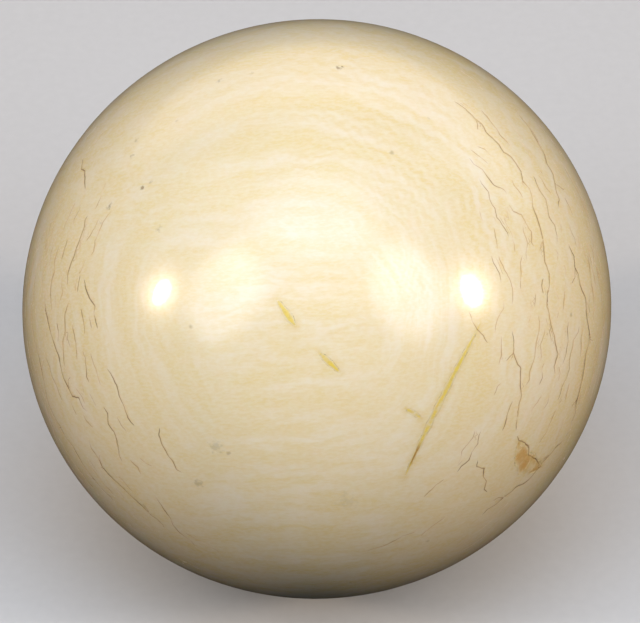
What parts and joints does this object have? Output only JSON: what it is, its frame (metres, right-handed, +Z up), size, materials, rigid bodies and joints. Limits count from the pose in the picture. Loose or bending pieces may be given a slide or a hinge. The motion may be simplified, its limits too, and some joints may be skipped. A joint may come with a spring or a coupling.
{
  "type": "ivory cue ball",
  "caption": "Old turned ivory cue ball, dried a little out of round, with the nerve in its canal and amber shellac stopping in its age checks.",
  "frame": {"origin": "middle of the ball", "axes": "+Z up as the ball lies, +X to the right along its widest diameter, -Y towards the front, where the nerve's end faces forward and up"},
  "size_m": [0.057, 0.0568, 0.0566],
  "materials": {
    "ivory": "gloss",
    "dried_nerve": "matte",
    "shellac": "gloss"
  },
  "bodies": {
    "root": {"ball_body": "ivory", "nerve_core": "dried_nerve", "nerve_seal_front": "shellac", "nerve_seal_back": "shellac", "long_check_filling": "shellac", "short_check_filling": "shellac", "side_check_filling": "shellac", "chip_filling": "shellac"}
  },
  "joints": []
}
